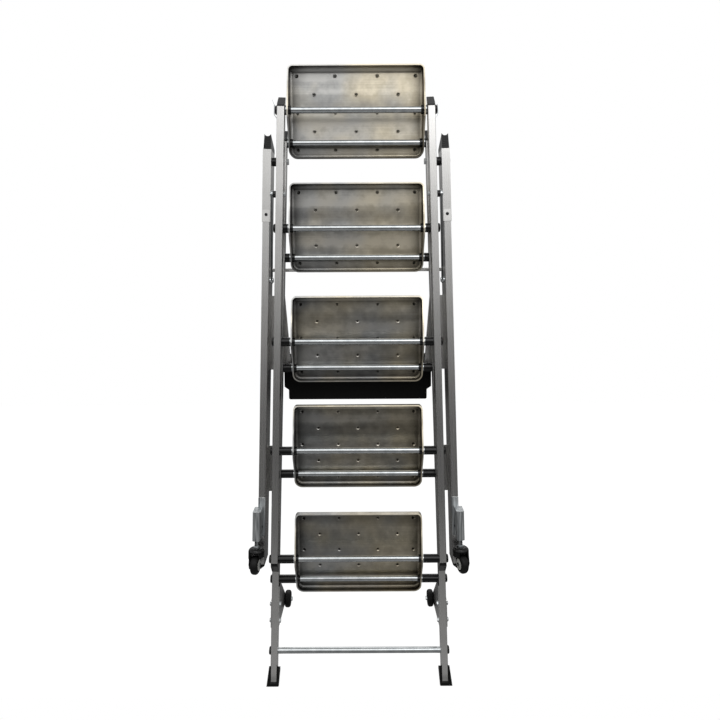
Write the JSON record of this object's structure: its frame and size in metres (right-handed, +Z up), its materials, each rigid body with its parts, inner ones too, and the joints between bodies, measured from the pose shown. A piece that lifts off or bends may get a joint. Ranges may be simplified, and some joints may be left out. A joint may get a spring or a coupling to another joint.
{
  "type": "folding step ladder",
  "caption": "Tall step ladder folded flat: sheet treads turn on rods between paired tube stiles, with hinged rear legs on swivel casters and fixed wheels at the foot.",
  "frame": {"origin": "centre of the folded ladder's footprint, on the floor", "axes": "+Z up the folded ladder, +X across it, -Y towards the side with the tread undersides"},
  "size_m": [0.6963, 0.324, 1.9781],
  "materials": {
    "stile_aluminium": "satin extruded",
    "tread_aluminium": "mill finish sheet, brushed",
    "zinc_steel": "bright zinc",
    "black_plastic": "moulded",
    "black_rubber": "matt",
    "tyre_black": "matt",
    "hub_grey": "moulded"
  },
  "bodies": {
    "front_frame": {"front_stile_left": "stile_aluminium", "front_stile_right": "stile_aluminium", "front_stile_caps": "black_plastic", "front_foot_left": "black_rubber", "front_foot_right": "black_rubber", "foot_rod": "zinc_steel", "back_rods": "zinc_steel", "back_rod_washers": "zinc_steel", "back_rod_sleeves": "black_plastic", "back_rod_caps": "black_plastic", "wheel_plates": "stile_aluminium", "wheel_plate_bolts": "zinc_steel", "front_wheel_axles": "zinc_steel", "rear_pivot_bushes": "black_plastic", "rear_pivot_bolts": "zinc_steel"},
    "lowest_tread": {"tread_1": "tread_aluminium"},
    "second_tread": {"tread_2": "tread_aluminium"},
    "middle_tread": {"tread_3": "tread_aluminium"},
    "fourth_tread": {"tread_4": "tread_aluminium"},
    "top_tread": {"tread_5": "tread_aluminium"},
    "link_frame": {"link_stile_left": "stile_aluminium", "link_stile_right": "stile_aluminium", "link_stile_top_caps": "black_plastic", "link_stile_bottom_caps": "black_plastic", "catch_strips": "zinc_steel", "front_rods": "zinc_steel", "front_rod_washers": "zinc_steel", "front_rod_sleeves": "black_plastic", "front_rod_caps": "black_plastic", "link_bar_bushes": "black_plastic", "link_bar_bolts": "zinc_steel"},
    "link_bars": {"link_bar_left": "zinc_steel", "link_bar_right": "zinc_steel", "link_bar_pins": "zinc_steel"},
    "rear_frame": {"rear_leg_left": "stile_aluminium", "rear_leg_right": "stile_aluminium", "rear_leg_caps": "black_plastic", "rear_leg_sleeves": "stile_aluminium", "rear_leg_screws": "zinc_steel", "rear_leg_tips": "black_rubber", "rear_cross_bar": "stile_aluminium", "rear_panel": "black_plastic", "rear_corner_plates": "stile_aluminium", "caster_bracket_left": "zinc_steel", "caster_bracket_right": "zinc_steel"},
    "caster_left": {"caster_fork_left": "black_plastic", "caster_pins_left": "zinc_steel"},
    "caster_right": {"caster_fork_right": "black_plastic", "caster_pins_right": "zinc_steel"},
    "caster_wheel_left": {"caster_tyre_left": "tyre_black", "caster_hub_left": "hub_grey"},
    "caster_wheel_right": {"caster_tyre_right": "tyre_black", "caster_hub_right": "hub_grey"},
    "front_wheel_left": {"front_wheel_tyre_left": "tyre_black", "front_wheel_hub_left": "black_plastic"},
    "front_wheel_right": {"front_wheel_tyre_right": "tyre_black", "front_wheel_hub_right": "black_plastic"}
  },
  "joints": [
    {"name": "fold", "type": "hinge", "parent": "front_frame", "child": "middle_tread", "pos_m": [0, -0.04699, 1.064], "axis": [1, 0, 0], "range_deg": [0, 128.1]},
    {"name": "lowest_tread_fold", "type": "hinge", "parent": "front_frame", "child": "lowest_tread", "pos_m": [0, -0.04699, 0.365], "axis": [1, 0, 0], "range_deg": [-0.5, 128.6]},
    {"name": "second_tread_fold", "type": "hinge", "parent": "front_frame", "child": "second_tread", "pos_m": [0, -0.04699, 0.72], "axis": [1, 0, 0], "range_deg": [-0.5, 128.6]},
    {"name": "fourth_tread_fold", "type": "hinge", "parent": "front_frame", "child": "fourth_tread", "pos_m": [0, -0.04699, 1.408], "axis": [1, 0, 0], "range_deg": [-0.5, 128.6]},
    {"name": "top_tread_fold", "type": "hinge", "parent": "front_frame", "child": "top_tread", "pos_m": [0, -0.04699, 1.752], "axis": [1, 0, 0], "range_deg": [-0.5, 128.6]},
    {"name": "link_frame_swing", "type": "hinge", "parent": "middle_tread", "child": "link_frame", "pos_m": [0, -0.09199, 1.151], "axis": [1, 0, 0], "range_deg": [-128.6, 0.5]},
    {"name": "rear_frame_swing", "type": "hinge", "parent": "front_frame", "child": "rear_frame", "pos_m": [0, -0.04699, 1.697], "axis": [1, 0, 0], "range_deg": [-0.5, 40.6]},
    {"name": "link_bar_swing", "type": "hinge", "parent": "link_frame", "child": "link_bars", "pos_m": [0, -0.09199, 1.596], "axis": [1, 0, 0], "range_deg": [-0.5, 82.63]},
    {"name": "caster_swivel_right", "type": "hinge", "parent": "rear_frame", "child": "caster_right", "pos_m": [0.32383, -0.12249, 0.45024], "axis": [-0.037, 0, 0.9993], "continuous": true},
    {"name": "caster_roll_right", "type": "hinge", "parent": "caster_right", "child": "caster_wheel_right", "pos_m": [0.32631, -0.13114, 0.45033], "axis": [0.9606, 0.2756, 0.0356], "continuous": true},
    {"name": "front_wheel_roll_right", "type": "hinge", "parent": "front_frame", "child": "front_wheel_right", "pos_m": [0.25288, 0.13201, 0.20971], "axis": [0.9993, 0, 0.037], "continuous": true},
    {"name": "caster_swivel_left", "type": "hinge", "parent": "rear_frame", "child": "caster_left", "pos_m": [-0.32383, -0.12249, 0.45024], "axis": [0.037, 0, 0.9993], "continuous": true},
    {"name": "caster_roll_left", "type": "hinge", "parent": "caster_left", "child": "caster_wheel_left", "pos_m": [-0.32493, -0.13142, 0.45028], "axis": [-0.9919, 0.1219, 0.0367], "continuous": true},
    {"name": "front_wheel_roll_left", "type": "hinge", "parent": "front_frame", "child": "front_wheel_left", "pos_m": [-0.25288, 0.13201, 0.20971], "axis": [-0.9993, 0, 0.037], "continuous": true}
  ],
  "couplings": [
    {"joint": "lowest_tread_fold", "follows": "fold", "ratio": 1},
    {"joint": "second_tread_fold", "follows": "fold", "ratio": 1},
    {"joint": "fourth_tread_fold", "follows": "fold", "ratio": 1},
    {"joint": "top_tread_fold", "follows": "fold", "ratio": 1},
    {"joint": "link_frame_swing", "follows": "fold", "ratio": -1},
    {"joint": "rear_frame_swing", "follows": "fold", "ratio": 0.31304},
    {"joint": "link_bar_swing", "follows": "fold", "ratio": 0.6411}
  ]
}
